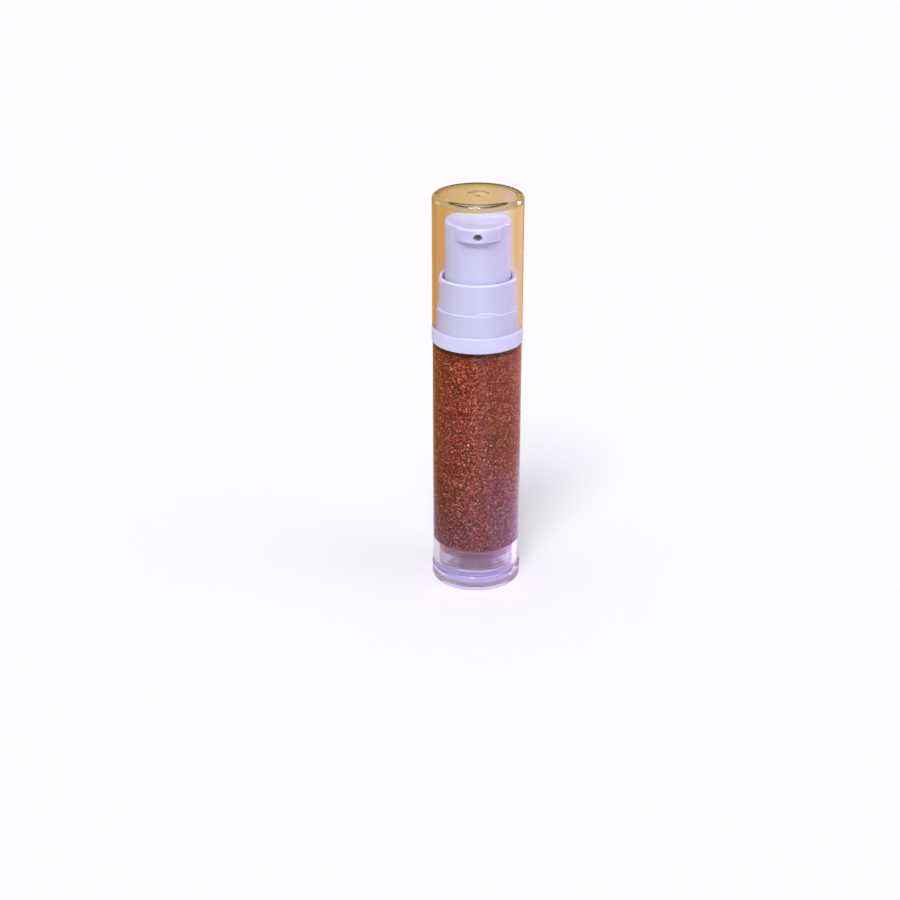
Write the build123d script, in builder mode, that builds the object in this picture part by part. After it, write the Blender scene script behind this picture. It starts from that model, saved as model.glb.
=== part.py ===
"""Clear 20 x 90 mm airless pump bottle for lip gloss.

+Z is up, the origin is the centre of the face it stands on, and the nozzle points to -Y.
Every piece is modelled where it sits with the overcap on, the head up and the bottle full.
Radii build up from the pump's chamber outwards, and heights from the base upwards.
All sizes are in millimetres.
"""
import os
from math import cos, radians, sin, sqrt

from build123d import *

os.makedirs("parts", exist_ok=True)

# ---- clearances -------------------------------------------------------------------------
slide_gap = 0.05      # radial, between a seal or guide and the wall it slides on
fit_gap = 0.05        # between two pieces that are pushed together and stay
turn_gap = 0.02       # radial, between the stem and the socket that turns on it
stop_gap = 0.1        # between a moving piece and the stop that it rests against
seat_gap = 0.3        # between the follower and the base it rests above
floor_gap = 0.3       # between the rod and the chamber's floor at full stroke
head_gap = 0.5        # radial, between the head and the collar's tube
head_floor_gap = 0.6  # between the head and the collar's floor at full stroke
boss_gap = 0.5        # between the head's boss and the retainer's guide at full stroke
cap_seat_gap = 0.15   # radial, between the overcap's skirt and the collar's seat
cap_headroom = 4.4    # between the head's top and the overcap's ceiling
visor_gap = 0.45      # radial, between the visor and the overcap's wall

# ---- strokes ----------------------------------------------------------------------------
stroke = 4.6
lost_motion = 0.8     # the stem moves this far before the seal piston follows
ball_lift = 0.8

# ---- stem, plunger rod and seal piston ---------------------------------------------------
stem_r = 1.9
stem_wall = 0.8
shoulder_gap = 0.6    # radial, between the stem's shoulder and the chamber
shoulder_t = 1.1
stem_tail = 4.0       # stem below its shoulder
stem_top_drop = 2.0   # from the duct's centre down to the stem's top
rod_seat_w = 0.65     # radial width of the rod's conical seat outside the sleeve
rod_head_t = 0.8
rod_grip = 5.0        # length of the rod's shank inside the stem
flute_r = 0.35
flute_count = 3
sleeve_wall = 0.55
sleeve_len = 4.75
piston_web_t = 0.8
piston_skirt_t = 0.35
piston_skirt_h = 3.2
piston_skirt_drop = 0.3   # skirt below the sleeve's lower end
piston_waist = 0.2

# ---- pump housing, gasket and retainer ---------------------------------------------------
chamber_r = 3.5
chamber_wall = 0.8
chamber_floor_t = 0.8
turret_wall = 1.1
turret_h = 5.0
flange_t = 1.0
flange_inset = 0.3    # radial, inside the neck's outside
gasket_t = 0.7
gasket_inset = 0.2
ball_r = 1.6
ball_side_gap = 0.35
ball_stop_r = 1.0
ball_slot_w = 0.9
ball_slots = 3
inlet_r = 0.9
inlet_len = 0.9
nose_wall = 1.05
nose_len = 5.5
nose_round = 0.5
retainer_wall = 0.75
retainer_top_t = 0.8
retainer_foot = 0.5   # from the flange's top up to the retainer's skirt
retainer_hook_h = 0.5
retainer_hook_reach = 0.2
retainer_side_gap = 0.2   # radial, to the hole in the collar's floor
guide_h = 0.7
guide_wall = 0.95

# ---- return spring -----------------------------------------------------------------------
wire_r = 0.35
wire_sides = 6        # flats that stand for the wire's round section
spring_gap = 0.25     # radial, round the head's boss
open_turns = 3        # whole turns, between one closed turn at each end
coil_gap = 0.06       # between the wires of a closed turn

# ---- bottle body ------------------------------------------------------------------------
neck_bore_gap = 1.7   # radial, round the pump's chamber
neck_wall = 1.6
neck_h = 4.5
snap_h = 0.6          # height of the neck bead, and of the collar bead that hooks under it
snap_reach = 0.35     # how far each of them stands out
neck_snap_above = 2.6  # shoulder to the underside of the neck bead
body_inset = 0.2      # radial, inside the collar's band and the base cap
body_wall = 1.3
body_len = 53.7
body_edge = 0.2
roof_t = 0.9
roof_corner = 0.5

# ---- collar -----------------------------------------------------------------------------
collar_wall = 1.0
collar_floor_t = 1.0
band_h = 3.4
band_edge = 0.2
seat_h = 4.8
tube_step = 0.45      # radial, from the overcap's seat in to the tube
tube_wall = 0.95
rim_round = 0.4
nub_count = 4
nub_len = 5.2
nub_h = 0.7
nub_reach = 0.2
nub_turn = 12.0       # degrees round from the nozzle's side to the first nub

# ---- overcap -----------------------------------------------------------------------------
cap_wall = 1.0
cap_skirt_wall = 0.75
cap_top_t = 1.1
cap_inset = 0.1       # radial, inside the collar's band
cap_shoulder_r = 1.15
cap_inner_round = 0.8
cap_foot_edge = 0.15
dimple_r = 2.1
dimple_depth = 0.45
gate_r = 0.5
gate_h = 0.2

# ---- actuator ----------------------------------------------------------------------------
head_wall = 0.9
head_h = 14.9
head_overlap = 2.6    # how far its skirt hangs inside the collar at rest
head_edge_r = 0.4
head_top_t = 1.8
dish_rim_w = 1.2
dish_depth = 0.6
boss_wall = 1.08
spring_seat_w = 0.65  # radial, outside the spring
spring_seat_t = 1.5
duct_r = 0.6
duct_below_top = 1.9
duct_rib_w = 2.6
visor_root_angle = 42.5   # either side of the nozzle's axis, where the visor leaves the head
visor_h = 3.2
visor_lip_r = 0.45
outlet_w = 1.9
outlet_h = 1.4
outlet_depth = 2.1
outlet_below_top = 1.7
head_rib_t = 0.7
head_rib_h = 2.6
head_rib_count = 3

# ---- base cap ---------------------------------------------------------------------------
base_flange_h = 3.5
base_floor_t = 1.2
base_edge_r = 0.9
foot_ring_w = 2.6
foot_recess_h = 0.3
plug_h = 1.0
plug_wall = 0.85
plug_lead = 0.2
plug_bead_r = 0.15
vent_r = 0.4
vent_from_well = 2.0  # radial, in from the well's wall

# ---- follower ----------------------------------------------------------------------------
follower_web_t = 1.0
follower_skirt_t = 0.6
lip_reach = 0.7       # radial, from the skirt out to the bore
lip_h = 0.6
lip_rise = 0.3
lip_t = 0.35
pocket_gap = 0.15     # radial, round the pump's nose
pocket_draft = 0.25
pocket_wall = 0.6
pocket_floor_t = 0.7
pocket_spare = 1.3    # depth of the pocket beyond the pump's nose
pocket_base_gap = 0.2   # between the pocket and the base cap's floor
pocket_round = 0.9

# ---- radii that follow, from the pump outwards ---------------------------------------------
sleeve_r = stem_r + slide_gap
stem_bore_r = stem_r - stem_wall
shoulder_r = chamber_r - shoulder_gap
rod_head_r = sleeve_r + rod_seat_w
housing_r = chamber_r + chamber_wall
turret_r = chamber_r + turret_wall
retainer_r = turret_r + fit_gap + retainer_wall
turret_bore_r = retainer_r + retainer_side_gap
cage_r = ball_r + ball_side_gap
nose_r = cage_r + nose_wall
boss_r = stem_r + turn_gap + boss_wall
spring_r = boss_r + spring_gap + wire_r
spring_seat_r = spring_r + wire_r + spring_seat_w
neck_bore_r = housing_r + neck_bore_gap
neck_r = neck_bore_r + neck_wall
flange_r = neck_r - flange_inset
gasket_r = neck_r - gasket_inset
collar_bore_r = neck_r + snap_reach + fit_gap
seat_r = collar_bore_r + collar_wall
tube_r = seat_r - tube_step
tube_bore_r = tube_r - tube_wall
head_r = tube_bore_r - head_gap
head_bore_r = head_r - head_wall
cap_skirt_bore_r = seat_r + cap_seat_gap
cap_r = cap_skirt_bore_r + cap_skirt_wall
cap_bore_r = cap_r - cap_wall
visor_reach_r = cap_bore_r - visor_gap
band_r = cap_r + cap_inset
base_r = band_r
body_r = band_r - body_inset
bore_r = body_r - body_wall
plug_r = bore_r - fit_gap
base_well_r = plug_r - plug_wall
lip_r = bore_r - slide_gap
follower_skirt_r = bore_r - lip_reach
pocket_foot_r = nose_r + pocket_gap + pocket_wall
pocket_top_r = pocket_foot_r + pocket_draft

# ---- levels that follow, from the base upwards ---------------------------------------------
base_floor_z = foot_recess_h + base_floor_t
body_z = base_flange_h
plug_top_z = body_z + plug_h
plug_bead_z = body_z + plug_h / 2
shoulder_z = body_z + body_len
roof_z = shoulder_z - roof_t
neck_snap_z = shoulder_z + neck_snap_above
neck_top_z = shoulder_z + neck_h
flange_z = neck_top_z + gasket_t
flange_top_z = flange_z + flange_t
band_top_z = shoulder_z + band_h
seat_top_z = band_top_z + seat_h
collar_floor_z = flange_top_z + collar_floor_t
hook_z = flange_top_z + retainer_foot
turret_top_z = flange_top_z + turret_h
retainer_top_z = turret_top_z + retainer_top_t

# The stem's shoulder rests under the retainer, and the piston hangs on the rod's head.
shoulder_top_z = turret_top_z - stop_gap
shoulder_foot_z = shoulder_top_z - shoulder_t
stem_foot_z = shoulder_foot_z - stem_tail
sleeve_top_z = shoulder_foot_z - lost_motion - slide_gap
sleeve_foot_z = sleeve_top_z - sleeve_len
rod_seat_z = sleeve_foot_z - slide_gap
rod_rim_z = rod_seat_z - rod_seat_w
rod_foot_z = rod_rim_z - rod_head_t

# The chamber is as deep as the rod's stroke, and the nose with the inlet ball hangs below it.
chamber_floor_z = rod_foot_z - stroke - floor_gap
chamber_base_z = chamber_floor_z - chamber_floor_t
nose_z = chamber_base_z - nose_len
cone_z = nose_z + inlet_len
ball_z = cone_z - inlet_r + (ball_r + slide_gap) * sqrt(2)
ball_stop_z = ball_z + ball_r + ball_lift + stop_gap

# The head clears the collar's floor at full stroke, and the overcap clears the head.
head_foot_z = collar_floor_z + stroke + head_floor_gap
rim_z = head_foot_z + head_overlap
head_top_z = head_foot_z + head_h
head_roof_z = head_top_z - head_top_t
spring_top_z = head_roof_z - spring_seat_t
socket_z = retainer_top_z + guide_h + stroke + boss_gap
duct_z = head_top_z - duct_below_top
stem_top_z = duct_z - stem_top_drop
visor_z = head_top_z - visor_h
cap_ceiling_z = head_top_z + cap_headroom
cap_top_z = cap_ceiling_z + cap_top_t

# The pocket hangs just above the base cap's floor, and is as deep as the pump's nose is long.
pocket_z = base_floor_z + pocket_base_gap
follower_top_z = pocket_z + pocket_floor_t + pocket_spare + nose_len
follower_foot_z = plug_top_z + seat_gap
gloss_z = follower_top_z + fit_gap


match = 1e-4          # two sizes closer than this are the same size


def ring_edges(piece, radius, level):
    """The horizontal circular edges of a piece with this radius at this height."""
    circles = piece.edges().filter_by(GeomType.CIRCLE)
    return circles.filter_by(lambda e: abs(e.radius - radius) < match and abs(e.center().Z - level) < match)


def polar(radius, degrees):
    """The point at this radius and angle in a plane."""
    return (radius * cos(radians(degrees)), radius * sin(radians(degrees)))


# ---- overcap: a clear moulded cup with a gate dimple in its top -------------------------------
with BuildPart() as overcap:
    with BuildSketch(Plane.XZ):
        with BuildLine():
            Polyline(
                (0, cap_top_z), (cap_r, cap_top_z), (cap_r, band_top_z),
                (cap_skirt_bore_r, band_top_z), (cap_skirt_bore_r, seat_top_z),
                (cap_bore_r, seat_top_z), (cap_bore_r, cap_ceiling_z),
                (0, cap_ceiling_z), close=True)
        make_face()
    revolve(axis=Axis.Z)
    fillet(ring_edges(overcap, cap_r, cap_top_z), cap_shoulder_r)
    fillet(ring_edges(overcap, cap_bore_r, cap_ceiling_z), cap_inner_round)
    chamfer(ring_edges(overcap, cap_r, band_top_z), cap_foot_edge)
    with BuildSketch(Plane.XY.offset(cap_top_z)):
        Circle(dimple_r)
    extrude(amount=-dimple_depth, mode=Mode.SUBTRACT)
    fillet(ring_edges(overcap, dimple_r, cap_top_z), dimple_depth / 2)
    with BuildSketch(Plane.XY.offset(cap_top_z - dimple_depth)):
        Circle(gate_r)
    extrude(amount=gate_h)
overcap.part.label = "overcap"

# ---- actuator: a dished push head with a visor nozzle over its outlet --------------------------
dish_r = head_r - dish_rim_w
dish_sphere_r = (dish_r**2 + dish_depth**2) / (2 * dish_depth)
rib_len = head_bore_r - spring_seat_r + head_wall
rib_mid_r = (head_bore_r + spring_seat_r) / 2
with BuildPart() as actuator:
    with BuildSketch(Plane.XY.offset(head_foot_z)):
        Circle(head_r)
    extrude(amount=head_h)
    with BuildSketch(Plane.XY.offset(visor_z)):
        with BuildLine():
            left = polar(head_r - fit_gap, -90 - visor_root_angle)
            right = polar(head_r - fit_gap, -90 + visor_root_angle)
            ThreePointArc(left, (0, -visor_reach_r), right)
            Line(right, left)
        make_face()
    extrude(amount=visor_h)
    underside = actuator.faces().filter_by(Axis.Z).filter_by(lambda f: abs(f.center().Z - visor_z) < match)
    fillet(underside.edges() - ring_edges(actuator, head_r, visor_z), visor_lip_r)
    fillet(actuator.faces().sort_by(Axis.Z)[-1].outer_wire().edges(), head_edge_r)
    # Concave thumb dish in the top.
    with Locations((0, 0, head_top_z + dish_sphere_r - dish_depth)):
        Sphere(dish_sphere_r, mode=Mode.SUBTRACT)
    # Hollow skirt, with the spring seat and the stem's socket left standing under the top.
    with BuildSketch(Plane.XZ):
        with BuildLine():
            Polyline(
                (boss_r, head_foot_z), (head_bore_r, head_foot_z),
                (head_bore_r, head_roof_z), (spring_seat_r, head_roof_z),
                (spring_seat_r, spring_top_z), (boss_r, spring_top_z), close=True)
        make_face()
    revolve(axis=Axis.Z, mode=Mode.SUBTRACT)
    with BuildSketch(Plane.XY.offset(head_foot_z)):
        Circle(boss_r + fit_gap)
    extrude(amount=socket_z - head_foot_z, mode=Mode.SUBTRACT)
    # The duct's rib, and stiffening ribs out to the skirt.
    with Locations((0, -rib_mid_r, head_roof_z)):
        Box(duct_rib_w, rib_len, spring_seat_t, align=(Align.CENTER, Align.CENTER, Align.MAX))
    with BuildSketch(Plane.XY.offset(head_roof_z)):
        with PolarLocations(rib_mid_r, head_rib_count, start_angle=0, angular_range=180, endpoint=True):
            Rectangle(rib_len, head_rib_t)
    extrude(amount=-head_rib_h)
    # The stem's socket, the duct and the oval outlet.
    with BuildSketch(Plane.XY.offset(socket_z)):
        Circle(stem_r + turn_gap)
    extrude(amount=stem_top_z - socket_z, mode=Mode.SUBTRACT)
    with BuildSketch(Plane.XY.offset(stem_top_z)):
        Circle(stem_bore_r)
    extrude(amount=duct_z - stem_top_z, mode=Mode.SUBTRACT)
    with BuildSketch(Plane.XZ):
        with Locations((0, duct_z)):
            Circle(duct_r)
    extrude(amount=visor_reach_r + 1, mode=Mode.SUBTRACT)
    with BuildSketch(Plane.XZ.offset(visor_reach_r - outlet_depth)):
        with Locations((0, head_top_z - outlet_below_top)):
            Ellipse(outlet_w / 2, outlet_h / 2)
    extrude(amount=outlet_depth + 1, mode=Mode.SUBTRACT)
actuator.part.label = "actuator"

# ---- collar: a band on the shoulder, a seat for the overcap and a guide tube for the head -------
with BuildPart() as nub:
    nub_arc_r = ((nub_len / 2)**2 + nub_h**2) / (2 * nub_h)
    with BuildSketch(Plane.XZ):
        with Locations((0, seat_top_z + nub_h - nub_arc_r)):
            Circle(nub_arc_r)
        with Locations((0, seat_top_z)):
            Rectangle(nub_len, nub_h, align=(Align.CENTER, Align.MIN), mode=Mode.INTERSECT)
    extrude(amount=tube_r + nub_reach)
    with BuildSketch(Plane.XY.offset(seat_top_z)):
        Circle(tube_r + nub_reach)
        Circle(tube_r - fit_gap, mode=Mode.SUBTRACT)
    extrude(amount=nub_h, mode=Mode.INTERSECT)
with BuildPart() as collar:
    with BuildSketch(Plane.XZ):
        with BuildLine():
            Polyline(
                (collar_bore_r, shoulder_z), (band_r, shoulder_z), (band_r, band_top_z),
                (seat_r, band_top_z), (seat_r, seat_top_z), (tube_r, seat_top_z), (tube_r, rim_z),
                (tube_bore_r, rim_z), (tube_bore_r, collar_floor_z),
                (turret_bore_r, collar_floor_z), (turret_bore_r, flange_top_z),
                (collar_bore_r, flange_top_z), close=True)
        make_face()
    revolve(axis=Axis.Z)
    # Bead that hooks under the bead on the bottle's neck.
    with BuildSketch(Plane.XZ):
        with BuildLine():
            Polyline(
                (collar_bore_r, neck_snap_z - fit_gap),
                (collar_bore_r - snap_reach, neck_snap_z - fit_gap),
                (collar_bore_r - snap_reach, neck_snap_z - fit_gap - snap_h / 2),
                (collar_bore_r, neck_snap_z - fit_gap - snap_h), close=True)
        make_face()
    revolve(axis=Axis.Z)
    fillet(ring_edges(collar, tube_r, rim_z) + ring_edges(collar, tube_bore_r, rim_z), rim_round)
    chamfer(ring_edges(collar, band_r, shoulder_z) + ring_edges(collar, band_r, band_top_z), band_edge)
    with PolarLocations(0, nub_count, start_angle=nub_turn):
        add(nub.part)
collar.part.label = "collar"

# ---- retainer: a cap over the housing's turret that guides the stem -----------------------------
with BuildPart() as retainer:
    with BuildSketch(Plane.XZ):
        with BuildLine():
            Polyline(
                (sleeve_r, turret_top_z), (turret_r + fit_gap, turret_top_z),
                (turret_r + fit_gap, hook_z + retainer_hook_h),
                (turret_r + fit_gap - retainer_hook_reach, hook_z + retainer_hook_h),
                (turret_r + fit_gap - retainer_hook_reach, hook_z + retainer_hook_h / 2),
                (turret_r + fit_gap, hook_z), (retainer_r, hook_z), (retainer_r, retainer_top_z),
                (sleeve_r + guide_wall, retainer_top_z), (sleeve_r + guide_wall, retainer_top_z + guide_h),
                (sleeve_r, retainer_top_z + guide_h), close=True)
        make_face()
    revolve(axis=Axis.Z)
    chamfer(ring_edges(retainer, retainer_r, retainer_top_z), retainer_wall / 3)
retainer.part.label = "retainer"

# ---- pump housing: flange, turret, chamber, and a nose that holds the inlet valve ---------------
groove_r = turret_r - retainer_hook_reach
with BuildPart() as pump_housing:
    with BuildSketch(Plane.XZ):
        with BuildLine():
            Polyline(
                (inlet_r, nose_z), (nose_r, nose_z), (nose_r, chamber_base_z),
                (housing_r, chamber_base_z), (housing_r, flange_z),
                (flange_r, flange_z), (flange_r, flange_top_z), (turret_r, flange_top_z),
                (turret_r, hook_z), (groove_r, hook_z + retainer_hook_h / 2 - fit_gap),
                (groove_r, hook_z + retainer_hook_h + fit_gap),
                (turret_r, hook_z + retainer_hook_h + fit_gap), (turret_r, turret_top_z),
                (chamber_r, turret_top_z), (chamber_r, chamber_floor_z),
                (ball_stop_r, chamber_floor_z), (ball_stop_r, ball_stop_z), (cage_r, ball_stop_z),
                (cage_r, cone_z + cage_r - inlet_r), (inlet_r, cone_z), close=True)
        make_face()
    revolve(axis=Axis.Z)
    fillet(ring_edges(pump_housing, nose_r, nose_z), nose_round)
    chamfer(ring_edges(pump_housing, housing_r, chamber_base_z), chamber_wall / 2)
    # Slots that let the product pass round the lifted ball.
    with BuildSketch(Plane.XY.offset(chamber_floor_z)):
        with PolarLocations(cage_r / 2, ball_slots):
            Rectangle(cage_r, ball_slot_w)
    extrude(amount=ball_stop_z - chamber_floor_z, mode=Mode.SUBTRACT)
pump_housing.part.label = "pump_housing"

with BuildPart() as inlet_ball:
    with Locations((0, 0, ball_z)):
        Sphere(ball_r)
inlet_ball.part.label = "inlet_ball"

with BuildPart() as neck_gasket:
    with BuildSketch(Plane.XY.offset(neck_top_z)):
        Circle(gasket_r)
        Circle(housing_r + fit_gap, mode=Mode.SUBTRACT)
    extrude(amount=gasket_t)
neck_gasket.part.label = "neck_gasket"

# ---- stem: a tube with a shoulder that stops under the retainer ---------------------------------
with BuildPart() as stem:
    with BuildSketch(Plane.XZ):
        with BuildLine():
            Polyline(
                (stem_bore_r, stem_foot_z), (stem_r, stem_foot_z), (stem_r, shoulder_foot_z),
                (shoulder_r, shoulder_foot_z), (shoulder_r, shoulder_top_z),
                (stem_r, shoulder_top_z), (stem_r, stem_top_z), (stem_bore_r, stem_top_z), close=True)
        make_face()
    revolve(axis=Axis.Z)
    chamfer(ring_edges(stem, stem_r, stem_top_z), (stem_r - stem_bore_r) / 3)
stem.part.label = "stem"

# ---- plunger rod: a fluted shank in the stem and a head that closes the piston from below --------
rod_r = stem_bore_r - fit_gap
shank_z = rod_seat_z + sleeve_r - rod_r
rod_top_z = stem_foot_z + rod_grip
with BuildPart() as plunger_rod:
    with BuildSketch(Plane.XZ):
        with BuildLine():
            Polyline(
                (0, rod_foot_z), (rod_head_r, rod_foot_z), (rod_head_r, rod_rim_z),
                (rod_r, shank_z), (rod_r, rod_top_z), (0, rod_top_z), close=True)
        make_face()
    revolve(axis=Axis.Z)
    chamfer(ring_edges(plunger_rod, rod_r, rod_top_z), rod_r / 4)
    with BuildSketch(Plane.XY.offset(rod_top_z)):
        with PolarLocations(rod_r, flute_count):
            Circle(flute_r)
    extrude(amount=shank_z - rod_top_z, mode=Mode.SUBTRACT)
plunger_rod.part.label = "plunger_rod"

# ---- seal piston: a sleeve on the stem with a double-lipped skirt --------------------------------
piston_r = chamber_r - slide_gap
skirt_foot_z = sleeve_foot_z - piston_skirt_drop
skirt_top_z = skirt_foot_z + piston_skirt_h
web_foot_z = (skirt_foot_z + skirt_top_z - piston_web_t) / 2
with BuildPart() as seal_piston:
    with BuildSketch(Plane.XZ):
        with BuildLine():
            Polyline(
                (sleeve_r, sleeve_foot_z), (sleeve_r + sleeve_wall, sleeve_foot_z),
                (sleeve_r + sleeve_wall, web_foot_z), (piston_r - piston_waist - piston_skirt_t, web_foot_z),
                (piston_r - piston_skirt_t, skirt_foot_z), (piston_r, skirt_foot_z),
                (piston_r - piston_waist, web_foot_z), (piston_r - piston_waist, web_foot_z + piston_web_t),
                (piston_r, skirt_top_z), (piston_r - piston_skirt_t, skirt_top_z),
                (piston_r - piston_waist - piston_skirt_t, web_foot_z + piston_web_t),
                (sleeve_r + sleeve_wall, web_foot_z + piston_web_t),
                (sleeve_r + sleeve_wall, sleeve_top_z), (sleeve_r, sleeve_top_z), close=True)
        make_face()
    revolve(axis=Axis.Z)
seal_piston.part.label = "seal_piston"

# ---- return spring: open coils between two closed end coils --------------------------------------
spring_foot_z = retainer_top_z + wire_r + turn_gap
spring_head_z = spring_top_z - wire_r - turn_gap
end_pitch = 2 * wire_r + coil_gap
open_rise = spring_head_z - spring_foot_z - 2 * end_pitch
with BuildPart() as return_spring:
    with BuildLine() as coil:
        foot_coil = Helix(end_pitch, end_pitch, spring_r, center=(0, 0, spring_foot_z))
        Helix(open_rise / open_turns, open_rise, spring_r, center=(0, 0, spring_foot_z + end_pitch))
        Helix(end_pitch, end_pitch, spring_r, center=(0, 0, spring_head_z - end_pitch))
    with BuildSketch(Plane(origin=foot_coil @ 0, z_dir=foot_coil % 0)):
        RegularPolygon(wire_r, wire_sides)
    sweep(path=coil.wire(), is_frenet=True)
return_spring.part.label = "return_spring"

# ---- bottle body: a clear straight tube, open below, with a snap neck -----------------------------
with BuildPart() as bottle_body:
    with BuildSketch(Plane.XZ):
        with BuildLine():
            Polyline(
                (bore_r, body_z), (body_r, body_z), (body_r, shoulder_z), (neck_r, shoulder_z),
                (neck_r, neck_snap_z), (neck_r + snap_reach, neck_snap_z),
                (neck_r + snap_reach, neck_snap_z + snap_h / 2), (neck_r, neck_snap_z + snap_h),
                (neck_r, neck_top_z), (neck_bore_r, neck_top_z), (neck_bore_r, roof_z),
                (bore_r, roof_z), close=True)
        make_face()
    revolve(axis=Axis.Z)
    chamfer(ring_edges(bottle_body, bore_r, roof_z), roof_corner)
    chamfer(ring_edges(bottle_body, body_r, shoulder_z) + ring_edges(bottle_body, body_r, body_z), body_edge)
    # Groove that the base cap's bead snaps into.
    with BuildSketch(Plane.XZ):
        with Locations((bore_r, plug_bead_z)):
            RegularPolygon(plug_bead_r + 2 * fit_gap, 4, rotation=45)
    revolve(axis=Axis.Z, mode=Mode.SUBTRACT)
bottle_body.part.label = "bottle_body"

# ---- base cap: a clear foot with a short plug inside the bottle -----------------------------------
with BuildPart() as base_cap:
    with BuildSketch(Plane.XZ):
        with BuildLine():
            Polyline(
                (0, foot_recess_h), (base_r - foot_ring_w, foot_recess_h),
                (base_r - foot_ring_w, 0), (base_r, 0), (base_r, body_z),
                (plug_r, body_z), (plug_r, plug_top_z), (base_well_r, plug_top_z),
                (base_well_r, base_floor_z), (0, base_floor_z), close=True)
        make_face()
    revolve(axis=Axis.Z)
    with BuildSketch(Plane.XZ):
        with Locations((plug_r, plug_bead_z)):
            RegularPolygon(plug_bead_r, 4, rotation=45)
    revolve(axis=Axis.Z)
    fillet(ring_edges(base_cap, base_r, 0), base_edge_r)
    chamfer(ring_edges(base_cap, base_r, body_z), body_edge)
    chamfer(ring_edges(base_cap, plug_r, plug_top_z), plug_lead)
    # Vent that lets air in under the follower.
    with BuildSketch(Plane.XY):
        with Locations((base_well_r - vent_from_well, 0)):
            Circle(vent_r)
    extrude(amount=base_floor_z, mode=Mode.SUBTRACT)
base_cap.part.label = "base_cap"

# ---- follower: a double-lipped piston with a pocket that takes the pump's nose --------------------
web_z = follower_top_z - follower_web_t
skirt_in_r = follower_skirt_r - follower_skirt_t
with BuildPart() as follower_piston:
    with BuildSketch(Plane.XZ):
        with BuildLine():
            Polyline(
                (0, pocket_z), (pocket_foot_r, pocket_z), (pocket_top_r, web_z), (skirt_in_r, web_z),
                (skirt_in_r, follower_foot_z + lip_h), (lip_r - lip_t, follower_foot_z),
                (lip_r, follower_foot_z), (follower_skirt_r, follower_foot_z + lip_h),
                (follower_skirt_r, follower_top_z + lip_rise - lip_h), (lip_r, follower_top_z + lip_rise),
                (lip_r - lip_t, follower_top_z + lip_rise), (follower_skirt_r - lip_rise, follower_top_z),
                (pocket_top_r - pocket_wall, follower_top_z),
                (pocket_foot_r - pocket_wall, pocket_z + pocket_floor_t),
                (0, pocket_z + pocket_floor_t), close=True)
        make_face()
    revolve(axis=Axis.Z)
    fillet(ring_edges(follower_piston, pocket_foot_r, pocket_z), pocket_round)
follower_piston.part.label = "follower_piston"

# ---- gloss: the product that fills the bottle between the follower and the pump --------------------
with BuildPart() as gloss_fill:
    with BuildSketch(Plane.XZ):
        with BuildLine():
            Polyline(
                (0, gloss_z), (follower_skirt_r - lip_rise - fit_gap, gloss_z),
                (lip_r - lip_t - fit_gap, gloss_z + lip_rise), (bore_r - fit_gap, gloss_z + lip_rise),
                (bore_r - fit_gap, roof_z - roof_corner),
                (bore_r - roof_corner, roof_z - fit_gap), (neck_bore_r - fit_gap, roof_z - fit_gap),
                (neck_bore_r - fit_gap, neck_top_z - fit_gap),
                (housing_r + fit_gap, neck_top_z - fit_gap),
                (housing_r + fit_gap, chamber_base_z - fit_gap),
                (nose_r + fit_gap, chamber_base_z - fit_gap), (nose_r + fit_gap, nose_z - fit_gap),
                (0, nose_z - fit_gap), close=True)
        make_face()
    revolve(axis=Axis.Z)
gloss_fill.part.label = "gloss_fill"

for piece in (
        overcap, actuator, collar, retainer, pump_housing, inlet_ball, neck_gasket, stem,
        plunger_rod, seal_piston, return_spring, bottle_body, base_cap, follower_piston, gloss_fill):
    export_step(piece.part, f"parts/{piece.part.label}.step")
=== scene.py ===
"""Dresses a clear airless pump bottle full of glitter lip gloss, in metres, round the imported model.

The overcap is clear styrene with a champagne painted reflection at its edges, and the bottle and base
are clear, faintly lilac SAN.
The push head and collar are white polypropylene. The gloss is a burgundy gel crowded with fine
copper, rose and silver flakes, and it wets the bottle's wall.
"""
import math

import bpy
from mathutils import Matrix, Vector


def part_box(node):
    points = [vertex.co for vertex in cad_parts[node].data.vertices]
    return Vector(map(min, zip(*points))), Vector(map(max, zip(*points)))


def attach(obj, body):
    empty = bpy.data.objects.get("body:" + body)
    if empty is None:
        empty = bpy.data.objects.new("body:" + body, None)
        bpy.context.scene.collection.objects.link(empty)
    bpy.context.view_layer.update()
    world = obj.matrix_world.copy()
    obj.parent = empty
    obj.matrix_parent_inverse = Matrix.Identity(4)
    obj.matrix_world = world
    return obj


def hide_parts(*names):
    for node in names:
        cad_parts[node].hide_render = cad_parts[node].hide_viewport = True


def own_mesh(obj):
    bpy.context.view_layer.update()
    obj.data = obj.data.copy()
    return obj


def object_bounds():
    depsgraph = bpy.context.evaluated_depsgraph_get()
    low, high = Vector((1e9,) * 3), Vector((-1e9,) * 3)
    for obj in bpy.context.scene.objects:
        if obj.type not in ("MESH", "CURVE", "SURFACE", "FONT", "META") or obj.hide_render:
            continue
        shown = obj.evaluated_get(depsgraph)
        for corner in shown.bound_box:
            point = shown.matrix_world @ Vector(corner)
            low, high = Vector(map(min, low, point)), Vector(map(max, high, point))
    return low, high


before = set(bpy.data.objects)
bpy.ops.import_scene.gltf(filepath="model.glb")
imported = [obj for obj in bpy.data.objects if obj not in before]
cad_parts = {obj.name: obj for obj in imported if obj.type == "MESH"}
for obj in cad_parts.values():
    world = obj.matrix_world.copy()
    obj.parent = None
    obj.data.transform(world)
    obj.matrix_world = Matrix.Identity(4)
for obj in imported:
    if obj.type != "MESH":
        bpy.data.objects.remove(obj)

MM = 0.001
COLOUR_A, COLOUR_B, COLOUR_RESULT = 6, 7, 2     # the sockets of a Mix node that mixes colours
cad_low, cad_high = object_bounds()
middle = (cad_low + cad_high) / 2


# ---- camera and lamps ----------------------------------------------------------------------------

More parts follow.
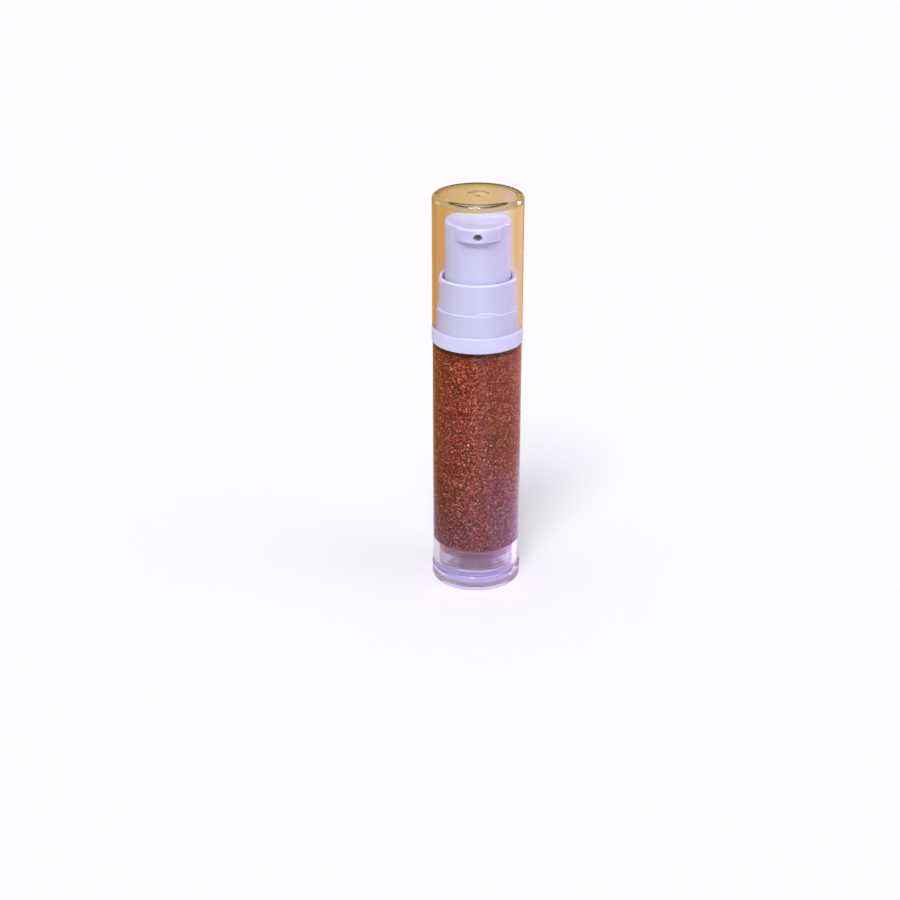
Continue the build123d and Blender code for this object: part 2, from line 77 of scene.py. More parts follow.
def place_camera(centre):
    """Looks down at the nozzle's side of the bottle, which is a little right of and above the middle."""
    elevation = math.radians(21.5)
    distance = 400 * MM
    right_of_middle = 5.9 * MM
    above_middle = 13.2 * MM
    back = Vector((0, -math.cos(elevation), math.sin(elevation)))
    up = Vector((0, math.sin(elevation), math.cos(elevation)))
    right = Vector((1, 0, 0))
    data = bpy.data.cameras.new("camera")
    data.lens = 72
    data.clip_start = 10 * MM
    camera = bpy.data.objects.new("camera", data)
    camera.location = centre + back * distance
    aim = centre - right * right_of_middle - up * above_middle
    camera.rotation_euler = (aim - camera.location).to_track_quat("-Z", "Y").to_euler()
    bpy.context.scene.collection.objects.link(camera)
    bpy.context.scene.camera = camera


def add_card(name, location, width, height, watts, colour, aim):
    """A glowing card that only mirrors in what shines: it gives clear and glossy walls their streaks."""
    data = bpy.data.lights.new(name, "AREA")
    data.shape = "RECTANGLE"
    data.size = width
    data.size_y = height
    data.energy = watts
    data.color = linear(colour)[:3]
    card = bpy.data.objects.new(name, data)
    card.location = location
    card.rotation_euler = (aim - card.location).to_track_quat("-Z", "Y").to_euler()
    card.visible_diffuse = False
    card.visible_transmission = False
    bpy.context.scene.collection.objects.link(card)


def add_sun(name, towards, strength, softness, colour):
    """A soft far light, the same all over the floor.

    Its lamp rays pass the clear walls, so it isn't seen through them as well: that would light what is
    inside twice.
    """
    data = bpy.data.lights.new(name, "SUN")
    data.energy = strength
    data.angle = math.radians(softness)
    data.color = linear(colour)[:3]
    sun = bpy.data.objects.new(name, data)
    sun.visible_transmission = False
    sun.rotation_euler = Vector(towards).to_track_quat("-Z", "Y").to_euler()
    bpy.context.scene.collection.objects.link(sun)


# ---- colours and nodes ---------------------------------------------------------------------------

def linear(code):
    """The linear colour of an sRGB hex code, with an alpha of 1."""
    shares = [int(code[i:i + 2], 16) / 255 for i in (1, 3, 5)]
    return [s / 12.92 if s <= 0.04045 else ((s + 0.055) / 1.055) ** 2.4 for s in shares] + [1.0]


def add_node(tree, kind, inputs=None, stops=(), **settings):
    """Adds a node with its settings.

    Each input is a value, or a socket to link from. The stops are a colour ramp's, as (position, hex
    code) pairs.
    """
    node = tree.nodes.new(kind)
    for name, value in settings.items():
        setattr(node, name, value)
    for name, value in (inputs or {}).items():
        socket = node.inputs[name]
        if isinstance(value, bpy.types.NodeSocket):
            tree.links.new(value, socket)
        else:
            socket.default_value = value
    if stops:
        elements = node.color_ramp.elements
        while len(elements) < len(stops):
            elements.new(1.0)
        for element, (position, code) in zip(elements, stops):
            element.position = position
            element.color = linear(code)
    return node


def new_material(name):
    """An empty node material; gives it, its tree and the output's Surface socket."""
    material = bpy.data.materials.new(name)
    material.use_nodes = True
    tree = material.node_tree
    tree.nodes.clear()
    surface = add_node(tree, "ShaderNodeOutputMaterial").inputs["Surface"]
    return material, tree, surface


# ---- materials -----------------------------------------------------------------------------------

def clear_plastic(name, face, edge, clear_light, ior, roughness, veil="#FFFFFF", veil_share=0.0):
    """Polished injection-moulded clear plastic.

    It shows the back through bent light, bright rims where light runs along the wall, and a painted
    reflection: its tint gives way to the edge colour where the wall is seen edge on. Fine scuffs break
    up its shine and the mould's slight ripple bends it. Lamps light what is inside through it. The veil
    is the little haze that scatters light in the wall.
    """
    scuff_size = 0.4 * MM
    ripple_size, ripple_height = 6 * MM, 0.1 * MM
    material, tree, surface = new_material(name)
    place = add_node(tree, "ShaderNodeTexCoord").outputs["Object"]
    facing = add_node(tree, "ShaderNodeLayerWeight", {"Blend": 0.5}).outputs["Facing"]
    # Painted reflection: the edge colour stands in for the surroundings mirrored where the wall is seen
    # edge on.
    edge_reflection_mask = add_node(tree, "ShaderNodeMapRange", {
        "Value": facing, "From Min": 0.6, "From Max": 1.0}, interpolation_type="SMOOTHSTEP")
    tint = add_node(tree, "ShaderNodeMix", {
        "Factor": edge_reflection_mask.outputs["Result"], COLOUR_A: linear(face), COLOUR_B: linear(edge)},
        data_type="RGBA")
    scuffs = add_node(tree, "ShaderNodeTexNoise", {
        "Vector": place, "Scale": 1 / scuff_size, "Detail": 6.0})
    scuffed = add_node(tree, "ShaderNodeMapRange", {
        "Value": scuffs.outputs["Fac"], "To Min": roughness * 0.5, "To Max": roughness * 1.5})
    waves = add_node(tree, "ShaderNodeTexNoise", {
        "Vector": place, "Scale": 1 / ripple_size, "Detail": 2.0})
    ripple = add_node(tree, "ShaderNodeBump", {
        "Height": waves.outputs["Fac"], "Strength": 0.04, "Distance": ripple_height})
    plastic = add_node(tree, "ShaderNodeBsdfPrincipled", {
        "Base Color": tint.outputs[COLOUR_RESULT], "Roughness": scuffed.outputs["Result"],
        "IOR": ior, "Transmission Weight": 1.0, "Normal": ripple.outputs["Normal"]}).outputs["BSDF"]
    if veil_share:
        haze = add_node(tree, "ShaderNodeBsdfDiffuse", {"Color": linear(veil)})
        back_light = add_node(tree, "ShaderNodeBsdfTranslucent", {"Color": linear(veil)})
        milk = add_node(tree, "ShaderNodeMixShader", {
            0: 0.5, 1: haze.outputs["BSDF"], 2: back_light.outputs["BSDF"]})
        plastic = add_node(tree, "ShaderNodeMixShader", {
            0: veil_share, 1: plastic, 2: milk.outputs["Shader"]}).outputs["Shader"]
    through = add_node(tree, "ShaderNodeBsdfTransparent", {"Color": linear(clear_light)})
    lamp_ray = add_node(tree, "ShaderNodeLightPath").outputs["Is Shadow Ray"]
    mixed = add_node(tree, "ShaderNodeMixShader", {0: lamp_ray, 1: plastic, 2: through.outputs["BSDF"]})
    tree.links.new(mixed.outputs["Shader"], surface)
    return material


def moulded_plastic(name, pale, deep, roughness, glow, glow_radius, see_through=0.0):
    """Satin moulded thermoplastic: soft light inside it, a fine spark-eroded skin, faint flow marks."""
    flow_size = 5 * MM
    skin_size, skin_height = 0.25 * MM, 0.02 * MM
    material, tree, surface = new_material(name)
    place = add_node(tree, "ShaderNodeTexCoord").outputs["Object"]
    flow = add_node(tree, "ShaderNodeTexNoise", {
        "Vector": place, "Scale": 1 / flow_size, "Detail": 3.0})
    colour = add_node(tree, "ShaderNodeMix", {
        "Factor": flow.outputs["Fac"], COLOUR_A: linear(pale), COLOUR_B: linear(deep)},
        data_type="RGBA")
    skin = add_node(tree, "ShaderNodeTexNoise", {
        "Vector": place, "Scale": 1 / skin_size, "Detail": 3.0})
    satin = add_node(tree, "ShaderNodeMapRange", {
        "Value": skin.outputs["Fac"], "To Min": roughness - 0.05, "To Max": roughness + 0.05})
    texture = add_node(tree, "ShaderNodeBump", {
        "Height": skin.outputs["Fac"], "Strength": 0.12, "Distance": skin_height})
    plastic = add_node(tree, "ShaderNodeBsdfPrincipled", {
        "Base Color": colour.outputs[COLOUR_RESULT], "Roughness": satin.outputs["Result"],
        "IOR": 1.49, "Subsurface Weight": glow, "Subsurface Radius": (1.0, 0.9, 1.1),
        "Subsurface Scale": glow_radius, "Transmission Weight": see_through,
        "Normal": texture.outputs["Normal"]})
    tree.links.new(plastic.outputs["BSDF"], surface)
    return material


def glitter_gel():
    """Burgundy lip gloss gel: rose and copper mica in a dark red gel, each fleck leant its own way.

    The mica is drawn 0.28 mm across, in clumps of 0.7 mm. That is several times its true size, so that
    its grain shows. The gel's colour is drawn by height: pink and violet at the bottle's foot, lighter
    and copper at its shoulder.
    """
    mica_size, clump_size = 0.28 * MM, 0.70 * MM
    foot, shoulder = 2 * MM, 57 * MM
    mica_lean = 0.7
    material, tree, surface = new_material("burgundy_glitter_gel")
    place = add_node(tree, "ShaderNodeTexCoord").outputs["Object"]
    mica = add_node(tree, "ShaderNodeTexVoronoi", {"Vector": place, "Scale": 1 / mica_size})
    clumps = add_node(tree, "ShaderNodeTexVoronoi", {"Vector": place, "Scale": 1 / clump_size})
    drawn = add_node(tree, "ShaderNodeSeparateColor", {"Color": mica.outputs["Color"]})
    drawn_clump = add_node(tree, "ShaderNodeSeparateColor", {"Color": clumps.outputs["Color"]})
    tones = add_node(tree, "ShaderNodeValToRGB", {"Fac": drawn.outputs["Red"]}, stops=[
        (0.0, "#651C18"), (0.35, "#9C3C36"), (0.7, "#CB665C"), (0.92, "#F2A596"), (1.0, "#FFE4DA")])
    shade = add_node(tree, "ShaderNodeValToRGB", {"Fac": drawn_clump.outputs["Green"]}, stops=[
        (0.0, "#B8B8B8"), (1.0, "#FFFFFF")])
    flecks = add_node(tree, "ShaderNodeMix", {
        "Factor": 1.0, COLOUR_A: tones.outputs["Color"], COLOUR_B: shade.outputs["Color"]},
        data_type="RGBA", blend_type="MULTIPLY")
    height = add_node(tree, "ShaderNodeSeparateXYZ", {"Vector": place}).outputs["Z"]
    # Colour by height: lighter and copper towards the top, pink and violet towards the bottom.
    level = add_node(tree, "ShaderNodeMapRange", {
        "Value": height, "From Min": foot, "From Max": shoulder})
    depth = add_node(tree, "ShaderNodeValToRGB", {"Fac": level.outputs["Result"]}, stops=[
        (0.04, "#E4A0E0"), (0.13, "#CCA2BA"), (0.56, "#F0C6D2"), (1.0, "#FFCCAA")])
    colour = add_node(tree, "ShaderNodeMix", {
        "Factor": 1.0, COLOUR_A: flecks.outputs[COLOUR_RESULT], COLOUR_B: depth.outputs["Color"]},
        data_type="RGBA", blend_type="MULTIPLY")
    metallic = add_node(tree, "ShaderNodeMapRange", {
        "Value": drawn.outputs["Blue"], "To Min": 0.0, "To Max": 0.7})
    scatter = add_node(tree, "ShaderNodeVectorMath", {
        0: mica.outputs["Color"], 1: (0.5, 0.5, 0.5)}, operation="SUBTRACT")
    lean = add_node(tree, "ShaderNodeVectorMath", {
        0: scatter.outputs["Vector"], "Scale": mica_lean}, operation="SCALE")
    flat = add_node(tree, "ShaderNodeNewGeometry").outputs["Normal"]
    leant = add_node(tree, "ShaderNodeVectorMath", {0: flat, 1: lean.outputs["Vector"]}, operation="ADD")
    normal = add_node(tree, "ShaderNodeVectorMath", {0: leant.outputs["Vector"]}, operation="NORMALIZE")
    gel = add_node(tree, "ShaderNodeBsdfPrincipled", {
        "Base Color": colour.outputs[COLOUR_RESULT], "Metallic": metallic.outputs["Result"],
        "Roughness": 0.38, "Normal": normal.outputs["Vector"]})
    tree.links.new(gel.outputs["BSDF"], surface)
    return material


def mica_flake():
    """Metallised film flakes in copper, rose and silver, each with its own tone."""
    material, tree, surface = new_material("metallised_glitter_flake")
    tone = add_node(tree, "ShaderNodeAttribute", attribute_name="flake_tone").outputs["Fac"]
    colour = add_node(tree, "ShaderNodeValToRGB", {"Fac": tone}, stops=[
        (0.0, "#8C2F2C"), (0.4, "#C0604F"), (0.65, "#E8A08C"), (0.85, "#FFD6CA"), (1.0, "#FFF4F0")])
    flake = add_node(tree, "ShaderNodeBsdfPrincipled", {
        "Base Color": colour.outputs["Color"], "Metallic": 1.0, "Roughness": 0.28})
    tree.links.new(flake.outputs["BSDF"], surface)
    return material


def steel(name, roughness, streak):
    """Stainless steel: drawn wire keeps fine streaks, a ground ball is all but a mirror."""
    streak_size = 0.2 * MM
    material, tree, surface = new_material(name)
    place = add_node(tree, "ShaderNodeTexCoord").outputs["Object"]
    marks = add_node(tree, "ShaderNodeTexNoise", {
        "Vector": place, "Scale": 1 / streak_size, "Detail": 4.0})
    marked = add_node(tree, "ShaderNodeMapRange", {
        "Value": marks.outputs["Fac"], "To Min": roughness, "To Max": roughness + streak})
    metal = add_node(tree, "ShaderNodeBsdfPrincipled", {
        "Base Color": linear("#C9C6C2"), "Metallic": 1.0, "Roughness": marked.outputs["Result"]})
    tree.links.new(metal.outputs["BSDF"], surface)
    return material


def in_shine(tree):
    """1 for what is seen mirrored or through clear plastic.

    It is 0 for what is seen straight, and for what lights a surface.
    """
    rays = add_node(tree, "ShaderNodeLightPath").outputs
    undimmed = add_node(tree, "ShaderNodeMath", {
        0: rays["Diffuse Depth"], 1: 0.5}, operation="LESS_THAN")
    shiny = add_node(tree, "ShaderNodeMath", {
        0: rays["Is Glossy Ray"], 1: rays["Is Transmission Ray"]}, operation="MAXIMUM")
    return add_node(tree, "ShaderNodeMath", {
        0: shiny.outputs["Value"], 1: undimmed.outputs["Value"]}, operation="MULTIPLY").outputs["Value"]


def paper_floor():
    """Seamless pale studio paper.

    What shines shows it lilac round the bottle's foot, brown left of that and gold further out, as
    painted reflections. A lilac patch of it on the right glows, in mirrors alone, as a painted
    reflection.
    """
    fibre_size = 3 * MM
    foot_r, gold_r = 30 * MM, 80 * MM
    reach = 100 * MM        # to the left and to the right
    patch_start, patch_full, patch_glow = 0.56, 0.62, 0.9
    material, tree, surface = new_material("studio_paper")
    place = add_node(tree, "ShaderNodeTexCoord").outputs["Object"]
    fibre = add_node(tree, "ShaderNodeTexNoise", {
        "Vector": place, "Scale": 1 / fibre_size, "Detail": 2.0})
    plain = add_node(tree, "ShaderNodeMix", {
        "Factor": fibre.outputs["Fac"], COLOUR_A: linear("#FCFCFD"), COLOUR_B: linear("#FAFAFB")},
        data_type="RGBA")
    from_axis = add_node(tree, "ShaderNodeVectorMath", {0: place}, operation="LENGTH")
    beyond = add_node(tree, "ShaderNodeMapRange", {
        "Value": from_axis.outputs["Value"], "From Min": foot_r, "From Max": gold_r}).outputs["Result"]
    sideways = add_node(tree, "ShaderNodeSeparateXYZ", {"Vector": place}).outputs["X"]
    across = add_node(tree, "ShaderNodeMapRange", {
        "Value": sideways, "From Min": -reach, "From Max": reach}).outputs["Result"]
    # Painted reflections: what shines sees lilac near the foot, brown to the left and gold further out.
    near = add_node(tree, "ShaderNodeValToRGB", {"Fac": across}, stops=[
        (0.2, "#94704E"), (0.44, "#ECE8F6"), (0.62, "#F2ECFC"), (0.8, "#FBE2FA")])
    far = add_node(tree, "ShaderNodeValToRGB", {"Fac": across}, stops=[
        (0.2, "#C4924F"), (0.5, "#F0CE84"), (0.57, "#E6C694"),
        (0.66, "#E4D0CE"), (0.75, "#E8CCC0"), (0.82, "#E6BE8C")])
    shown = add_node(tree, "ShaderNodeMix", {
        "Factor": beyond, COLOUR_A: near.outputs["Color"], COLOUR_B: far.outputs["Color"]},
        data_type="RGBA")
    shine = in_shine(tree)
    colour = add_node(tree, "ShaderNodeMix", {
        "Factor": shine, COLOUR_A: plain.outputs[COLOUR_RESULT],
        COLOUR_B: shown.outputs[COLOUR_RESULT]}, data_type="RGBA")
    # Painted reflection: a lilac patch on the right glows in mirrors alone.
    mirror_ray = add_node(tree, "ShaderNodeLightPath").outputs["Is Glossy Ray"]
    mirrored = add_node(tree, "ShaderNodeMath", {0: shine, 1: mirror_ray}, operation="MULTIPLY")
    right_side = add_node(tree, "ShaderNodeMapRange", {
        "Value": across, "From Min": patch_start, "From Max": patch_full, "To Max": patch_glow})
    close_by = add_node(tree, "ShaderNodeMath", {0: 1.0, 1: beyond}, operation="SUBTRACT")
    lilac_painted_reflection = add_node(tree, "ShaderNodeMath", {
        0: right_side.outputs["Result"], 1: close_by.outputs["Value"]}, operation="MULTIPLY")
    glow = add_node(tree, "ShaderNodeMath", {
        0: lilac_painted_reflection.outputs["Value"], 1: mirrored.outputs["Value"]}, operation="MULTIPLY")
    paper = add_node(tree, "ShaderNodeBsdfPrincipled", {
        "Base Color": colour.outputs[COLOUR_RESULT], "Emission Color": linear("#D9B4FA"),
        "Emission Strength": glow.outputs["Value"], "Roughness": 0.9, "Specular IOR Level": 0.0})
    tree.links.new(paper.outputs["BSDF"], surface)
    material.cycles.emission_sampling = "NONE"
    return material


# ---- meshes --------------------------------------------------------------------------------------

def new_piece(name, vertices, faces, material):
    """A smooth mesh object at the origin, with creases kept sharp."""
    crease = math.radians(35)
    mesh = bpy.data.meshes.new(name)
    mesh.from_pydata(vertices, [], faces)
    mesh.materials.append(material)
    mesh.polygons.foreach_set("use_smooth", [True] * len(mesh.polygons))
    mesh.set_sharp_from_angle(angle=crease)
    mesh.update()
    piece = bpy.data.objects.new(name, mesh)
    bpy.context.scene.collection.objects.link(piece)
    return piece


def turn(name, outline, material, steps=120):
    """Turns a closed (radius, height) outline, walked anticlockwise, round the bottle's axis."""
    vertices = []
    rings = []
    for radius, height in outline:
        if radius == 0:
            rings.append([len(vertices)] * steps)
            vertices.append((0, 0, height))
            continue
        rings.append(range(len(vertices), len(vertices) + steps))
        for i in range(steps):
            angle = 2 * math.pi * i / steps
            vertices.append((radius * math.cos(angle), radius * math.sin(angle), height))
    faces = []
    for below, above in zip(rings, rings[1:] + rings[:1]):
        for i in range(steps):
            j = (i + 1) % steps
            corners = dict.fromkeys((below[i], below[j], above[j], above[i]))
            if len(corners) > 2:
                faces.append(tuple(corners))
    return new_piece(name, vertices, faces, material)


def finish_piece(piece, body, slot, *nodes):
    """Gives a piece its body and hides the CAD nodes it stands for; its slot, a finish's name, is not
    used.
    """
    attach(piece, body)
    if nodes:
        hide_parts(*nodes)


# ---- the bottle's levels, read from the frame ----------------------------------------------------

gloss_low, gloss_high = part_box("gloss_fill")
body_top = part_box("bottle_body")[1].z
nose_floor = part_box("pump_housing")[0].z
follower_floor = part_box("follower_piston")[0].z
spring_low, spring_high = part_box("return_spring")

place_camera(middle)


# ---- gloss ---------------------------------------------------------------------------------------

# The gel wets the wall, so its skin lies a hair inside the clear plastic with no air between.
wet = 0.02 * MM
gap = 0.05 * MM             # what the solid gloss keeps clear of the pieces round it
nose_len = 5.5 * MM
roof_drop = 5.4 * MM        # from the neck's top down to the roof under the shoulder
bore_r = gloss_high.x + gap
gel_r = bore_r + wet
seam = nose_floor + nose_len - gap      # the gel above it never moves
nose_r = 3.05 * MM
housing_r = 4.35 * MM
neck_r = 6.0 * MM + wet
roof = body_top - roof_drop + wet
roof_corner = 0.5 * MM
lip_root_r = bore_r - 1.05 * MM
lip_edge_r = bore_r - 0.45 * MM
lip_top = gloss_low.z + 0.3 * MM

gel = glitter_gel()
gloss_column = turn("gloss_column", [
    (0, gloss_low.z), (lip_root_r, gloss_low.z), (lip_edge_r, lip_top), (gel_r, lip_top), (gel_r, seam),
    (nose_r, seam), (nose_r, nose_floor - gap), (0, nose_floor - gap)], gel)
gloss_neck = turn("gloss_neck", [
    (housing_r, seam), (gel_r, seam), (gel_r, roof - roof_corner), (gel_r - roof_corner, roof),
    (neck_r, roof), (neck_r, gloss_high.z), (housing_r, gloss_high.z)], gel)

# What the follower's pocket holds is squeezed out round the pump's nose, all but a film.
pocket_floor_r = 3.17 * MM
pocket_mouth_r = 3.42 * MM
nose_room_r = 3.03 * MM
film_t = 1.0 * MM
film_floor = follower_floor + 0.68 * MM
film_top = gloss_low.z - gap
gloss_film = turn("gloss_film", [
    (0, film_floor), (pocket_floor_r, film_floor), (pocket_mouth_r, film_top), (nose_room_r, film_top),
    (nose_room_r, film_floor + film_t), (0, film_floor + film_t)], gel)

# A thin smear of gloss clings between the follower's skirt and the wall, under its upper lip.
skirt_r = 7.82 * MM
smear_foot_r = 8.3 * MM
smear_r = 8.38 * MM
smear_top = gloss_low.z - 0.35 * MM
smear_bottom = smear_top - 1.5 * MM
smear = clear_plastic("thin_gloss_smear", "#E2B0B4", "#A8769A", "#F0D8D2", 1.46, 0.08, "#B886A0", 0.16)
gloss_smear = turn("gloss_smear", [
    (skirt_r, smear_bottom), (smear_foot_r, smear_bottom + 0.2 * MM),
    (smear_r, smear_top - 0.1 * MM), (skirt_r, smear_top)], smear)


# ---- glitter -------------------------------------------------------------------------------------

def flake_tree(material):
    """Geometry Nodes that scatter thin six-sided flakes on a surface, each leant and toned at random."""
    any_way = 6.3               # radians, a little over a full turn
    smallest, largest = 0.55, 1.3
    size_seed, tone_seed = 4, 9
    low, high, drawn = 2, 3, 1      # the sockets of a Random Value node that draws plain numbers
    tree = bpy.data.node_groups.new("glitter_flakes", "GeometryNodeTree")
    face = tree.interface
    face.new_socket("Geometry", in_out="INPUT", socket_type="NodeSocketGeometry")
    for name in ("Flakes per Square Metre", "Flake Radius", "Lean"):
        face.new_socket(name, in_out="INPUT", socket_type="NodeSocketFloat")
    face.new_socket("Seed", in_out="INPUT", socket_type="NodeSocketInt")
    face.new_socket("Geometry", in_out="OUTPUT", socket_type="NodeSocketGeometry")
    given = add_node(tree, "NodeGroupInput").outputs
    spots = add_node(tree, "GeometryNodeDistributePointsOnFaces", {
        "Mesh": given["Geometry"], "Density": given["Flakes per Square Metre"], "Seed": given["Seed"]})
    plate = add_node(tree, "GeometryNodeMeshCircle", {
        "Vertices": 6, "Radius": given["Flake Radius"]}, fill_type="NGON")
    lean = add_node(tree, "FunctionNodeRandomValue", {
        "Min": (-1.0, -1.0, -any_way), "Max": (1.0, 1.0, any_way), "Seed": given["Seed"]},
        data_type="FLOAT_VECTOR")
    share = add_node(tree, "ShaderNodeCombineXYZ", {"X": given["Lean"], "Y": given["Lean"], "Z": 1.0})
    scaled = add_node(tree, "ShaderNodeVectorMath", {
        0: lean.outputs["Value"], 1: share.outputs["Vector"]}, operation="MULTIPLY")
    turned = add_node(tree, "FunctionNodeEulerToRotation", {"Euler": scaled.outputs["Vector"]})
    stance = add_node(tree, "FunctionNodeRotateRotation", {
        "Rotation": spots.outputs["Rotation"], "Rotate By": turned.outputs["Rotation"]},
        rotation_space="LOCAL")
    size = add_node(tree, "FunctionNodeRandomValue", {low: smallest, high: largest, "Seed": size_seed})
    flakes = add_node(tree, "GeometryNodeInstanceOnPoints", {
        "Points": spots.outputs["Points"], "Instance": plate.outputs["Mesh"],
        "Rotation": stance.outputs["Rotation"], "Scale": size.outputs[drawn]})
    tone = add_node(tree, "FunctionNodeRandomValue", {low: 0.0, high: 1.0, "Seed": tone_seed})
    toned = add_node(tree, "GeometryNodeStoreNamedAttribute", {
        "Geometry": flakes.outputs["Instances"], "Name": "flake_tone", "Value": tone.outputs[drawn]},
        data_type="FLOAT", domain="INSTANCE")
    real = add_node(tree, "GeometryNodeRealizeInstances", {"Geometry": toned.outputs["Geometry"]})
    made = add_node(tree, "GeometryNodeSetMaterial", {
        "Geometry": real.outputs["Geometry"], "Material": material})
    add_node(tree, "NodeGroupOutput", {"Geometry": made.outputs["Geometry"]})
    return tree


def grow(carrier, name, tree, **inputs):
    """Runs a Geometry Nodes tree on a carrier mesh and keeps its result as a plain mesh piece."""
    modifier = carrier.modifiers.new("grow", "NODES")
    modifier.node_group = tree
    for socket in tree.interface.items_tree:
        if socket.in_out == "INPUT" and socket.name in inputs:
            modifier[socket.identifier] = inputs[socket.name]
    view = bpy.context.evaluated_depsgraph_get()
    mesh = bpy.data.meshes.new_from_object(carrier.evaluated_get(view), depsgraph=view)
    mesh.name = name
    carrier.modifiers.remove(modifier)
    bpy.data.objects.remove(carrier)
    piece = bpy.data.objects.new(name, mesh)
    bpy.context.scene.collection.objects.link(piece)
    return piece


def sleeve(name, radius, low, high, material, steps=96):
    """An open cylinder that carries flakes."""
    vertices = []
    for height in (low, high):
        for i in range(steps):
            angle = 2 * math.pi * i / steps
            vertices.append((radius * math.cos(angle), radius * math.sin(angle), height))
    faces = [(i, (i + 1) % steps, steps + (i + 1) % steps, steps + i) for i in range(steps)]
    return new_piece(name, vertices, faces, material)


# The flakes lie at the wall, drawn 0.13 to 0.31 mm across, larger than life, so that they show.
flake = mica_flake()
scatter = flake_tree(flake)
flake_r = 0.12 * MM
flakes_per_m2 = 3.2e6
flakes_at = gel_r + wet
flakes_low = gloss_low.z + 0.5 * MM
flake_settings = {
    "Flakes per Square Metre": flakes_per_m2, "Flake Radius": flake_r, "Lean": 0.45, "Seed": 3}
flakes_in_column = grow(
    sleeve("carrier", flakes_at, flakes_low, seam - flake_r, flake),
    "flakes_in_column", scatter, **flake_settings)
flakes_in_neck = grow(
    sleeve("carrier", flakes_at, seam, roof - roof_corner, flake),
    "flakes_in_neck", scatter, **flake_settings)


# ---- return spring -------------------------------------------------------------------------------

def wind_spring(name, radius, wire, low, high, material):
    """A round wire wound into one closed turn at each end and three open turns between."""
    closed_gap = 0.06 * MM
    turns = 5
    steps = 48
    sides = 12
    closed_pitch = 2 * wire + closed_gap
    open_rise = high - low - 2 * wire - 2 * closed_pitch
    vertices = []
    for step in range(turns * steps + 1):
        wound = step / steps
        slope = min(wound, 1) + max(wound - (turns - 1), 0)
        opened = min(max((wound - 1) / (turns - 2), 0), 1)
        level = low + wire + slope * closed_pitch + opened * open_rise
        angle = 2 * math.pi * wound
        for side in range(sides):
            around = 2 * math.pi * side / sides
            reach = radius + wire * math.cos(around)
            height = level + wire * math.sin(around)
            vertices.append((reach * math.cos(angle), reach * math.sin(angle), height))
    faces = []
    for step in range(turns * steps):
        for side in range(sides):
            here = step * sides + side
            beside = step * sides + (side + 1) % sides
            faces.append((here, here + sides, beside + sides, beside))
    faces.append(tuple(range(sides)))
    faces.append(tuple(reversed(range(turns * steps * sides, (turns * steps + 1) * sides))))
    return new_piece(name, vertices, faces, material)


wire_r = 0.35 * MM
spring_r = spring_high.x - wire_r
drawn_wire = steel("drawn_stainless_wire", 0.22, 0.12)
return_coil = wind_spring("return_coil", spring_r, wire_r, spring_low.z, spring_high.z, drawn_wire)


# ---- finishes of the imported pieces ---------------------------------------------------------------

# Clear SAN is bright and faintly lilac, with a deeper lilac painted reflection where its wall is seen
# edge on, and the thick base a little hazy. Clear styrene is as bright, with a champagne painted
# reflection at its edges.
clear_body = clear_plastic("clear_san", "#FCFAFF", "#DCD0F0", "#F6F3FA", 1.57, 0.03)
clear_base = clear_plastic(
    "clear_san_base", "#EFEEF6", "#D4D2F2", "#F3F1FA", 1.57, 0.05, "#DCD8F6", 0.10)
clear_cap = clear_plastic("clear_styrene", "#FFFFFF", "#ECCB88", "#F2FAFF", 1.59, 0.02)
# White polypropylene glows softly with a lilac cast, acetal is harder and whiter, natural
# polypropylene lets some light through, and low density polyethylene is milky and waxy.
white_pp = moulded_plastic("white_polypropylene", "#D6D4F4", "#CFCEF2", 0.34, 0.5, 1.0 * MM)
white_pom = moulded_plastic("white_acetal", "#E9E9EA", "#E2E3E6", 0.30, 0.15, 0.4 * MM)
natural_pp = moulded_plastic("natural_polypropylene", "#E6E5EA", "#DDDCE4", 0.36, 0.3, 0.8 * MM, 0.35)
milky_pe = clear_plastic(
    "low_density_polyethylene", "#F8F2FA", "#E8DCEC", "#F2EAF4", 1.51, 0.12, "#E6D2F0", 0.06)
elastomer = moulded_plastic("soft_elastomer", "#E2E0DA", "#D8D6D0", 0.6, 0.1, 0.3 * MM)
ball_steel = steel("ground_stainless_ball", 0.06, 0.04)
finishes = {
    "overcap": clear_cap,
    "bottle_body": clear_body,
    "base_cap": clear_base,
    "actuator": white_pp,
    "collar": white_pp,
    "retainer": white_pom,
    "stem": white_pom,
    "plunger_rod": white_pom,
    "seal_piston": milky_pe,
    "follower_piston": milky_pe,
    "pump_housing": natural_pp,
    "neck_gasket": elastomer,
    "inlet_ball": ball_steel,
}
for node, material in finishes.items():
    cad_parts[node].material_slots[0].material = material

finish_piece(gloss_column, "bottle", "gloss", "gloss_fill")
finish_piece(gloss_neck, "bottle", "gloss", "gloss_fill")
finish_piece(gloss_film, "follower", "gloss")
finish_piece(gloss_smear, "follower", "gloss")
finish_piece(flakes_in_column, "bottle", "gloss")
finish_piece(flakes_in_neck, "bottle", "gloss")
finish_piece(return_coil, "bottle", "spring_steel", "return_spring")

# These pieces get meshes of their own; in the pump the follower squeezes the column flat, and the head
# presses the spring down onto the retainer.
for piece in (gloss_column, flakes_in_column):
    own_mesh(piece)
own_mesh(return_coil)


# ---- studio --------------------------------------------------------------------------------------

def lay_floor(side=8.0):
    """A wide sheet of pale paper under the bottle."""
    half = side / 2
    corners = [(-half, -half, 0), (half, -half, 0), (half, half, 0), (-half, half, 0)]
    floor = new_piece("floor", corners, [(0, 1, 2, 3)], paper_floor())


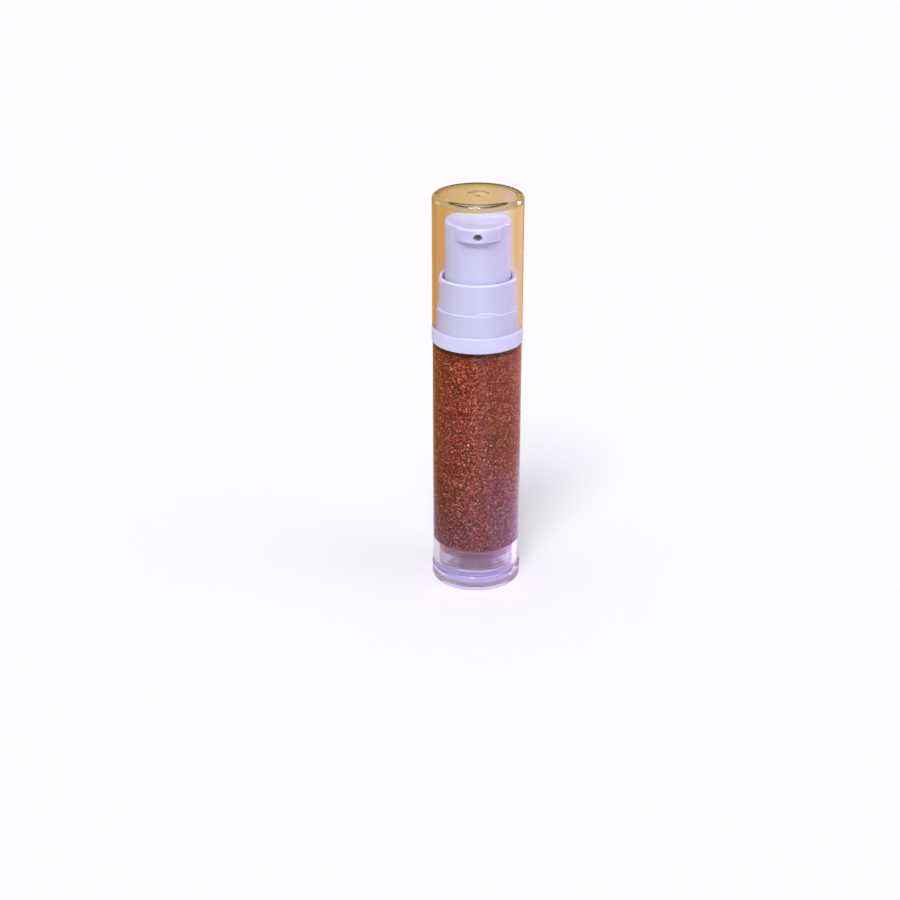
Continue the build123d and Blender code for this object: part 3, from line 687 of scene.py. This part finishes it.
def light_room():
    """An even pale room, a little brighter overhead; what shines shows its walls gold, a painted
    reflection.
    """
    even_light, backdrop_light = 0.6, 0.95
    world = bpy.data.worlds.new("room")
    bpy.context.scene.world = world
    world.use_nodes = True
    tree = world.node_tree
    tree.nodes.clear()
    place = add_node(tree, "ShaderNodeTexCoord").outputs["Generated"]
    height = add_node(tree, "ShaderNodeSeparateXYZ", {"Vector": place}).outputs["Z"]
    # Painted reflection: gold walls, seen only in what shines; lamp and straight rays get the pale room.
    walls = add_node(tree, "ShaderNodeValToRGB", {"Fac": height}, stops=[
        (0.0, "#E8BE6C"), (0.35, "#F2CE8A"), (0.8, "#F4D8AC"), (1.0, "#F8EEF8")])
    pale_room = add_node(tree, "ShaderNodeValToRGB", {"Fac": height}, stops=[
        (0.0, "#E8E6F6"), (1.0, "#FFFDFF")])
    lit = add_node(tree, "ShaderNodeMix", {
        "Factor": in_shine(tree), COLOUR_A: pale_room.outputs["Color"],
        COLOUR_B: walls.outputs["Color"]}, data_type="RGBA")
    # Lamp rays already bring the room's light in through clear walls, so bent rays don't bring it again.
    rays = add_node(tree, "ShaderNodeLightPath").outputs
    again = add_node(tree, "ShaderNodeMath", {
        0: rays["Diffuse Depth"], 1: 0.5}, operation="GREATER_THAN")
    twice = add_node(tree, "ShaderNodeMath", {
        0: again.outputs["Value"], 1: rays["Is Transmission Ray"]}, operation="MULTIPLY")
    strength = add_node(tree, "ShaderNodeMapRange", {
        "Value": twice.outputs["Value"], "To Min": even_light, "To Max": 0.0})
    even = add_node(tree, "ShaderNodeBackground", {
        "Color": lit.outputs[COLOUR_RESULT], "Strength": strength.outputs["Result"]})
    pale = add_node(tree, "ShaderNodeBackground", {
        "Color": linear("#FBFAFF"), "Strength": backdrop_light})
    mixed = add_node(tree, "ShaderNodeMixShader", {
        0: rays["Is Camera Ray"], 1: even.outputs["Background"], 2: pale.outputs["Background"]})
    add_node(tree, "ShaderNodeOutputWorld", {"Surface": mixed.outputs["Shader"]})


lay_floor()
light_room()
bpy.context.scene.view_settings.view_transform = "Standard"
# Light runs a long way inside the clear walls, from one side of the wall to the other.
light_paths = bpy.context.scene.cycles
light_paths.glossy_bounces = 16
light_paths.transmission_bounces = 16
light_paths.max_bounces = 24
add_sun("key", (0.12, 0.61, -0.78), 1.68, 24, "#FFFFFF")
add_sun("lilac_fill", (-0.88, 0.25, -0.40), 0.45, 50, "#F0D8FF")
add_card("lilac_side", Vector((0.42, 0.26, 0.10)), 0.12, 0.40, 2.0, "#E2C8FF", middle)
add_card("gold_side", Vector((-0.45, 0.22, 0.10)), 0.20, 0.40, 0.6, "#FFC978", middle)
add_card("glint", Vector((-0.02, -0.40, 0.55)), 0.03, 0.03, 0.5, "#FFF0EA", middle)
